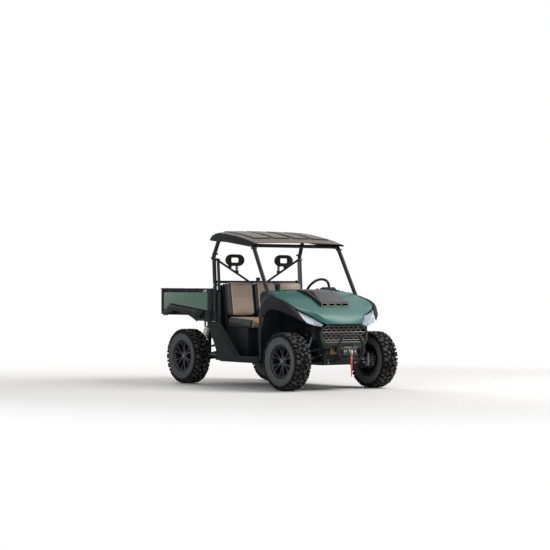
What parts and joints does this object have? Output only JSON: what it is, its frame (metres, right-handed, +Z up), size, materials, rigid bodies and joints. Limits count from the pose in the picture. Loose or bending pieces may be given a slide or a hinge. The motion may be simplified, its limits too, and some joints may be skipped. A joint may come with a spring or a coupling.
{
  "type": "side by side utv",
  "caption": "Side by side utility vehicle with bench seating, open roll cage with roof, tilting cargo bed with tailgate, front winch and off-road wheels.",
  "frame": {"origin": "on the ground, under the middle of the bounding box", "axes": "+X to the vehicle's front, +Y to its left-hand side, +Z up"},
  "size_m": [3.1, 1.59, 1.948],
  "materials": {
    "body_green": "metallic paint",
    "black_plastic": "grained",
    "gloss_black": "gloss",
    "frame_steel": "satin powder coat",
    "tyre_rubber": "matte",
    "rim_alloy": "black painted",
    "seat_vinyl": "soft vinyl",
    "soft_black": "matte",
    "webbing": "woven",
    "red_webbing": "woven",
    "lamp_lens": "clear lens",
    "red_lens": "gloss",
    "cast_alloy": "cast",
    "bare_steel": "zinc plated"
  },
  "bodies": {
    "chassis": {"bull_bar": "frame_steel", "dashboard": "black_plastic", "drive_units": "cast_alloy", "engine_block": "cast_alloy", "footwell_tub": "black_plastic", "front_fascia": "gloss_black", "front_fenders": "black_plastic", "grille": "black_plastic", "half_shafts": "bare_steel", "head_restraints": "soft_black", "headlights": "lamp_lens", "hitch_receiver": "frame_steel", "hook_strap": "red_webbing", "main_frame": "frame_steel", "muffler": "bare_steel", "rear_cab_panel": "black_plastic", "rear_knuckles": "cast_alloy", "roll_cage": "frame_steel", "roof": "black_plastic", "seat_backs": "seat_vinyl", "seat_base": "black_plastic", "seat_belts": "webbing", "seat_cushions": "seat_vinyl", "shocks": "bare_steel", "side_panels": "black_plastic", "skid_plate": "black_plastic", "steering_column": "frame_steel", "suspension_arms": "frame_steel", "wheel_liners": "black_plastic", "winch": "frame_steel", "winch_hook": "bare_steel"},
    "hood": {"hood_panel": "body_green", "hood_scoop": "black_plastic"},
    "bed": {"bed_tub": "black_plastic", "bed_rails": "black_plastic", "bed_side_panels": "body_green", "bed_flares": "black_plastic", "tail_lights": "red_lens"},
    "tailgate": {"tailgate": "black_plastic"},
    "steering_wheel": {"steering_wheel": "soft_black"},
    "steering_rack": {"steering_rack": "bare_steel"},
    "knuckle_left": {"knuckle_left": "cast_alloy"},
    "knuckle_right": {"knuckle_right": "cast_alloy"},
    "wheel_front_left": {"rim_front_left": "rim_alloy", "tyre_front_left": "tyre_rubber"},
    "wheel_front_right": {"rim_front_right": "rim_alloy", "tyre_front_right": "tyre_rubber"},
    "wheel_rear_left": {"rim_rear_left": "rim_alloy", "tyre_rear_left": "tyre_rubber"},
    "wheel_rear_right": {"rim_rear_right": "rim_alloy", "tyre_rear_right": "tyre_rubber"}
  },
  "joints": [
    {"name": "steer_left", "type": "hinge", "parent": "chassis", "child": "knuckle_left", "pos_m": [1.135, 0.59, 0.35], "axis": [0, 0, 1], "range_deg": [-30, 30]},
    {"name": "steer_right", "type": "hinge", "parent": "chassis", "child": "knuckle_right", "pos_m": [1.135, -0.59, 0.35], "axis": [0, 0, 1], "range_deg": [-30, 30]},
    {"name": "rack_slide", "type": "slide", "parent": "chassis", "child": "steering_rack", "axis": [0, 1, 0], "range_m": [-0.05, 0.05]},
    {"name": "steering_wheel_turn", "type": "hinge", "parent": "chassis", "child": "steering_wheel", "pos_m": [0.333, 0.42, 1.188], "axis": [-0.866, 0, 0.5], "range_deg": [-272, 272]},
    {"name": "wheel_front_left_spin", "type": "hinge", "parent": "knuckle_left", "child": "wheel_front_left", "pos_m": [1.135, 0.675, 0.35], "axis": [0, 1, 0], "continuous": true},
    {"name": "wheel_front_right_spin", "type": "hinge", "parent": "knuckle_right", "child": "wheel_front_right", "pos_m": [1.135, -0.675, 0.35], "axis": [0, 1, 0], "continuous": true},
    {"name": "wheel_rear_left_spin", "type": "hinge", "parent": "chassis", "child": "wheel_rear_left", "pos_m": [-0.945, 0.675, 0.35], "axis": [0, 1, 0], "continuous": true},
    {"name": "wheel_rear_right_spin", "type": "hinge", "parent": "chassis", "child": "wheel_rear_right", "pos_m": [-0.945, -0.675, 0.35], "axis": [0, 1, 0], "continuous": true},
    {"name": "hood_hinge", "type": "hinge", "parent": "chassis", "child": "hood", "pos_m": [0.704, 0, 1.199], "axis": [0, -1, 0], "range_deg": [0, 60]},
    {"name": "bed_tilt", "type": "hinge", "parent": "chassis", "child": "bed", "pos_m": [-1.33, 0, 0.845], "axis": [0, -1, 0], "range_deg": [0, 45]},
    {"name": "tailgate_hinge", "type": "hinge", "parent": "bed", "child": "tailgate", "pos_m": [-1.534, 0, 0.895], "axis": [0, -1, 0], "range_deg": [0, 90]}
  ],
  "couplings": [
    {"joint": "steer_right", "follows": "steer_left", "ratio": 1},
    {"joint": "rack_slide", "follows": "steer_left", "m_per_rad": -0.0907},
    {"joint": "steering_wheel_turn", "follows": "steer_left", "ratio": 9}
  ]
}
